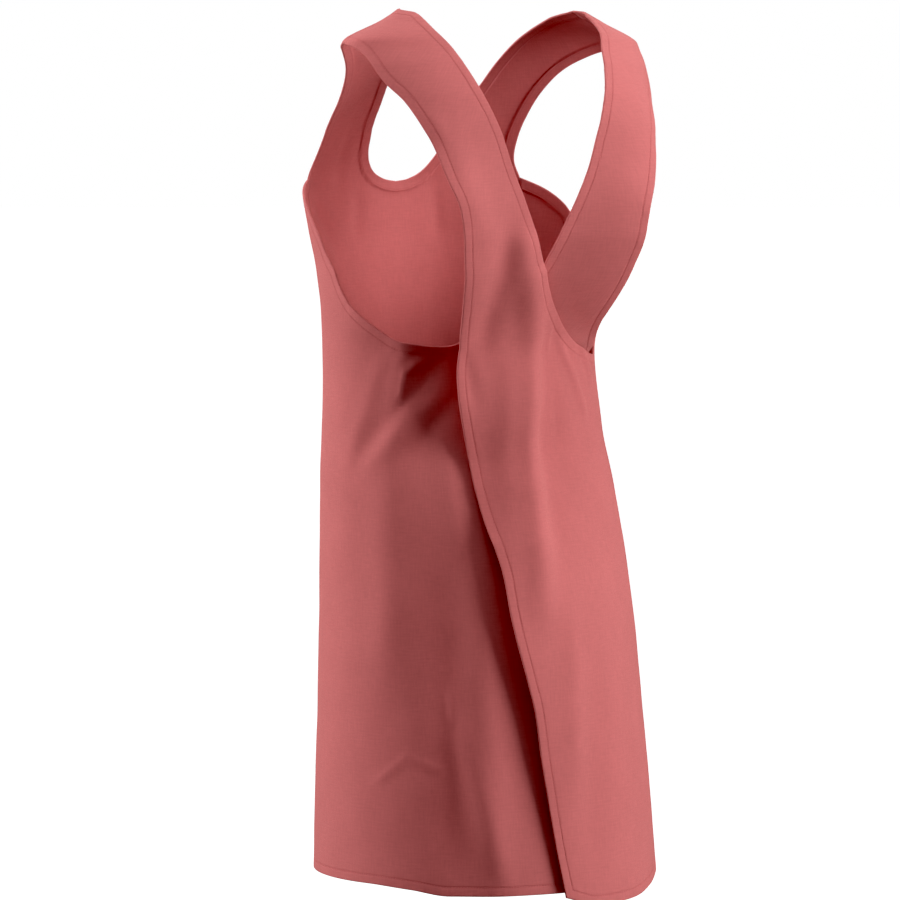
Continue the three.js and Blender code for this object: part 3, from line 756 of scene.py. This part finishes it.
def stitches(name, lines):
    """All stitching of a panel as one mesh, made by the lockstitch tree along lines of points."""
    points, edges = [], []
    for line in lines:
        edges += [(len(points) + k, len(points) + k + 1) for k in range(len(line) - 1)]
        points += line
    path = bpy.data.meshes.new(name)
    path.from_pydata([tuple(p) for p in points], edges, [])
    holder = bpy.data.objects.new(name + "_path", path)
    bpy.context.scene.collection.objects.link(holder)
    modifier = holder.modifiers.new("lockstitch", "NODES")
    modifier.node_group = LOCKSTITCH
    sizes = dict(STITCH_SIZES, Thread=THREAD)
    for item in LOCKSTITCH.interface.items_tree:
        if item.item_type == "SOCKET" and item.in_out == "INPUT" and item.name in sizes:
            modifier[item.identifier] = sizes[item.name]
    ready = holder.evaluated_get(bpy.context.evaluated_depsgraph_get())
    mesh = bpy.data.meshes.new_from_object(ready)
    holder.modifiers.remove(modifier)
    bpy.data.objects.remove(holder)
    mesh.name = name
    sewn = bpy.data.objects.new(name, mesh)
    bpy.context.scene.collection.objects.link(sewn)
    mesh.materials.clear()
    mesh.materials.append(THREAD)
    mesh.polygons.foreach_set("material_index", [0] * len(mesh.polygons))
    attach(sewn, "root")


stitches("outer_back_stitches", outer_seams)

# Inner back panel
# The right shoulder strap and its panel, cut like the outer one and turned over. It passes under
# the outer panel at the crossing, and goes round to the left side seam.
INNER = {
    "strap": STRAP_TOP + [
        [55.4, 0.850, 0.71, 77.5, 0.719, -0.02],
        [55.8, 0.940, 0.79, 83, 0.845, -0.04],
        [55, 1.045, 0.79, 89.5, 0.996, -0.04],
        [50.6, 1.090, 0.60, 96, 1.044, 0.00],
        [38.1, 1.124, 0.27, 109.5, 1.090, 0.04],
    ],
    "top_edge": [
        [109.5, 1.090, 0.04], [124, 1.116, 0.05], [134, 1.119, 0.05], [141, 1.116, 0.05],
        [150, 1.109, 0.05], [160, 1.086, 0.05], [168.4, 1.063, 0.05], [173, 1.048, 0.05],
        [180.4, 1.010, 0.05], [187, 0.946, 0.05], [191, 0.882, 0.05], [196, 0.826, 0.04],
        [202, 0.765, 0.03], [211, 0.704, 0.02], [SEAM_ANGLE, SEAM_TOP, SEAM_STAND],
    ],
    "near_edge": [
        [1.124, 38.1, 0.27], [1.137, 34.6, 0.08], [1.150, 34.2, -0.02], [1.170, 37, -0.06],
        [1.232, 46, -0.04], [1.318, 52, 0.03], [1.396, 58, 0.03], [1.500, 66.5, 0.03],
        [1.610, 72.5, 0.03], [1.765, 79.5, 0.03], [1.965, 86, 0.03],
    ],
    "foot": [
        [86, 1.965, 0.03], [135, 1.965, 0.02], [148, 1.957, 0.01], [165, 1.952, 0.01],
        [SEAM_ANGLE, SEAM_FOOT, SEAM_STAND],
    ],
    "folds": [
        [131, 1.135, 170, 1.305, 1.3, -0.18],
        [132, 1.192, 163, 1.305, 1.2, 0.2],
        [152, 1.300, 156, 1.620, 2.6, 0.4],
        [136, 1.480, 131, 1.940, 2.3, -0.55],
        [122, 1.520, 118.5, 1.940, 2.3, 0.55],
    ],
    "wrinkles": [
        [133, 1.142, 151, 1.224, 0.6, -0.10], [127, 1.205, 151, 1.300, 1.1, -0.22],
        [138, 1.138, 146, 1.160, 0.40, 0.12], [146, 1.158, 148.5, 1.200, 0.40, 0.15],
        [141, 1.140, 144, 1.155, 0.35, 0.10], [156, 1.140, 172, 1.310, 1.2, 0.16],
        [133.5, 1.655, 132.8, 1.702, 0.45, 0.16], [162, 1.800, 149, 1.753, 0.45, 0.06],
        [145, 1.075, 151, 1.300, 2.2, 0.50], [131, 1.680, 117, 1.930, 1.3, 0.32],
        [148, 1.753, 136, 1.775, 0.45, 0.06], [132, 1.270, 128, 1.420, 1.2, 0.16],
        [44, 0.560, 52, 0.720, 0.7, 0.12],
    ],
}
inner_panel, inner_seams = panel_mesh("inner_back_cloth", INNER, is_mirrored=True, seed=4.0)
inner_panel.data.materials.append(CANVAS_CLOTH)
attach(inner_panel, "root")
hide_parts("inner_back_panel")
stitches("inner_back_stitches", inner_seams)

# Front panel
# The bib and the skirt of the apron with both short front straps, cut in one on the fold. It is
# sewn to the back panels at the shoulders and at the sides, and its neckline is a deep scoop.
FRONT = {
    "strap": [
        [183, 0.145, 0.06, 184, 0.010, 0.06],
        [194, 0.175, 0.05, 201, 0.045, 0.06],
        [205, 0.235, 0.05, 220, 0.115, 0.05],
        [214, 0.325, 0.04, 233, 0.205, 0.04],
        [219.5, 0.425, 0.04, 241, 0.300, 0.04],
        [222, 0.510, 0.03, 245.5, 0.375, 0.04],
        [222.5, 0.590, 0.02, 248, 0.430, 0.04],
        [SEAM_ANGLE, SEAM_TOP, SEAM_STAND, 250, 0.480, 0.04],
    ],
    "top_edge": [
        [250, 0.480, 0.04], [253, 0.560, 0.04], [258, 0.630, 0.03], [264, 0.664, 0.03],
        [270, 0.675, 0.03],
    ],
    "near_edge": [[SEAM_TOP, SEAM_ANGLE, SEAM_STAND], [SEAM_FOOT, SEAM_ANGLE, SEAM_STAND]],
    "foot": [[SEAM_ANGLE, SEAM_FOOT, SEAM_STAND], [270, 1.965, 0.03]],
    "folds": [
        [246, 1.25, 248, 1.93, 3.4, 0.8],
        [262, 1.40, 262, 1.93, 3.2, -0.6],
    ],
    "wrinkles": [
        [226, 0.760, 236, 0.900, 0.9, 0.20], [224, 0.860, 232, 1.000, 0.9, -0.16],
        [238, 0.500, 243, 0.700, 0.9, 0.14], [252, 0.720, 250, 0.900, 1.0, 0.14],
    ],
}
front_panel, front_seams = panel_mesh("front_cloth", FRONT, is_half=True, seed=9.0)
build = bmesh.new()
build.from_mesh(front_panel.data)
mirror = bmesh.new()
mirror.from_mesh(front_panel.data)
bmesh.ops.scale(mirror, vec=(-1, 1, 1), verts=mirror.verts)
bmesh.ops.reverse_faces(mirror, faces=mirror.faces)
turned = bpy.data.meshes.new("front_left_half")
mirror.to_mesh(turned)
build.from_mesh(turned)
same_place = 1e-6
middle = [v for v in build.verts if abs(v.co.x) < same_place]
bmesh.ops.remove_doubles(build, verts=middle, dist=same_place)
build.to_mesh(front_panel.data)
build.free()
mirror.free()
bpy.data.meshes.remove(turned)
front_panel.data.materials.append(CANVAS_CLOTH)
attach(front_panel, "root")
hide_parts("front_panel")
turned_over = [[point * (-1, 1, 1) for point in line] for line in front_seams]
stitches("front_stitches", front_seams + turned_over)

# Camera, floor and lights
# The camera looks at the back from the wearer's left, a little above the middle of the apron. The
# pale floor lies far below it, and five softboxes light the cloth.
CAMERA_TURN = math.radians(33)
CAMERA_DISTANCE = 5.0
EYE_HEIGHT = -0.1
AIM_HEIGHT = -0.442
SIDE_SHIFT = 0.040
VIEW_WIDTH = 0.900
to_camera = Vector((math.sin(CAMERA_TURN), math.cos(CAMERA_TURN), 0))
to_right = Vector((-math.cos(CAMERA_TURN), math.sin(CAMERA_TURN), 0))
eye_x, eye_y = CAMERA_DISTANCE * math.sin(CAMERA_TURN), CAMERA_DISTANCE * math.cos(CAMERA_TURN)
eye = Vector((eye_x, eye_y, EYE_HEIGHT))
aim = Vector((0, 0, AIM_HEIGHT)) - to_right * SIDE_SHIFT
camera_data = bpy.data.cameras.new("camera")
camera_data.sensor_width = 36
camera_data.lens = camera_data.sensor_width * (aim - eye).length / VIEW_WIDTH
camera_data.clip_end = 100
camera = bpy.data.objects.new("camera", camera_data)
camera.location = eye
camera.rotation_euler = (aim - eye).to_track_quat("-Z", "Y").to_euler()
bpy.context.scene.collection.objects.link(camera)
bpy.context.scene.camera = camera

FLOOR_RADIUS = 60
FLOOR_PLACE = Matrix.Translation((0, 0, -1.4))
floor_mesh = bpy.data.meshes.new("floor")
floor_build = bmesh.new()
bmesh.ops.create_circle(floor_build, cap_ends=True, radius=FLOOR_RADIUS, segments=96, matrix=FLOOR_PLACE)
floor_build.to_mesh(floor_mesh)
floor_build.free()
floor = bpy.data.objects.new("floor", floor_mesh)
bpy.context.scene.collection.objects.link(floor)
floor_paint = bpy.data.materials.new("pale floor")
floor_paint.use_nodes = True
floor_surface = floor_paint.node_tree.nodes["Principled BSDF"]
floor_surface.inputs["Base Color"].default_value = (0.9, 0.9, 0.9, 1)
floor_surface.inputs["Roughness"].default_value = 1.0
floor_surface.inputs["Emission Color"].default_value = (1, 1, 1, 1)
floor_surface.inputs["Emission Strength"].default_value = 1.0
floor_mesh.materials.append(floor_paint)
floor.visible_diffuse = False
floor.visible_glossy = False

# The studio is white where the camera sees it, and dim where it only lights the cloth.
ROOM_LIGHT = 0.12
BLACK_LEVEL = 0.030
world = bpy.data.worlds.new("studio")
world.use_nodes = True
room = world.node_tree
dim = room.nodes["Background"]
dim.inputs["Strength"].default_value = ROOM_LIGHT
white = room.nodes.new("ShaderNodeBackground")
for background in (dim, white):
    background.inputs["Color"].default_value = (1, 1, 1, 1)
seen = room.nodes.new("ShaderNodeLightPath")
either = room.nodes.new("ShaderNodeMixShader")
room.links.new(seen.outputs["Is Camera Ray"], either.inputs[0])
room.links.new(dim.outputs[0], either.inputs[1])
room.links.new(white.outputs[0], either.inputs[2])
room.links.new(either.outputs[0], room.nodes["World Output"].inputs["Surface"])
bpy.context.scene.world = world
view = bpy.context.scene.view_settings
view.view_transform = "Standard"
view.use_curve_mapping = True
view.curve_mapping.black_level = (BLACK_LEVEL,) * 3
view.curve_mapping.update()

SOFTBOXES = [
    # name, degrees to the right of the camera, degrees up, distance, width, height, power
    ("left softbox", -88, 6, 2.0, 1.1, 1.6, 40),
    ("right softbox", 76, 9, 2.0, 1.1, 1.7, 45),
    ("top softbox", -20, 82, 2.0, 1.3, 1.3, 26),
    ("front fill", -10, 0, 2.6, 1.6, 1.6, 3),
    ("back fill", -168, 12, 2.4, 1.6, 1.8, 11),
]
middle_point = Vector((0, 0, AIM_HEIGHT))
for name, turn, rise, distance, width, height, power in SOFTBOXES:
    turn, rise = math.radians(turn), math.radians(rise)
    level_way = to_right * math.sin(turn) + to_camera * math.cos(turn)
    way = level_way * math.cos(rise) + Vector((0, 0, math.sin(rise)))
    data = bpy.data.lights.new(name, "AREA")
    data.shape = "RECTANGLE"
    data.size = width
    data.size_y = height
    data.energy = power
    light = bpy.data.objects.new(name, data)
    light.location = middle_point + way * distance
    light.rotation_euler = (-way).to_track_quat("-Z", "Y").to_euler()
    light.visible_camera = False
    bpy.context.scene.collection.objects.link(light)
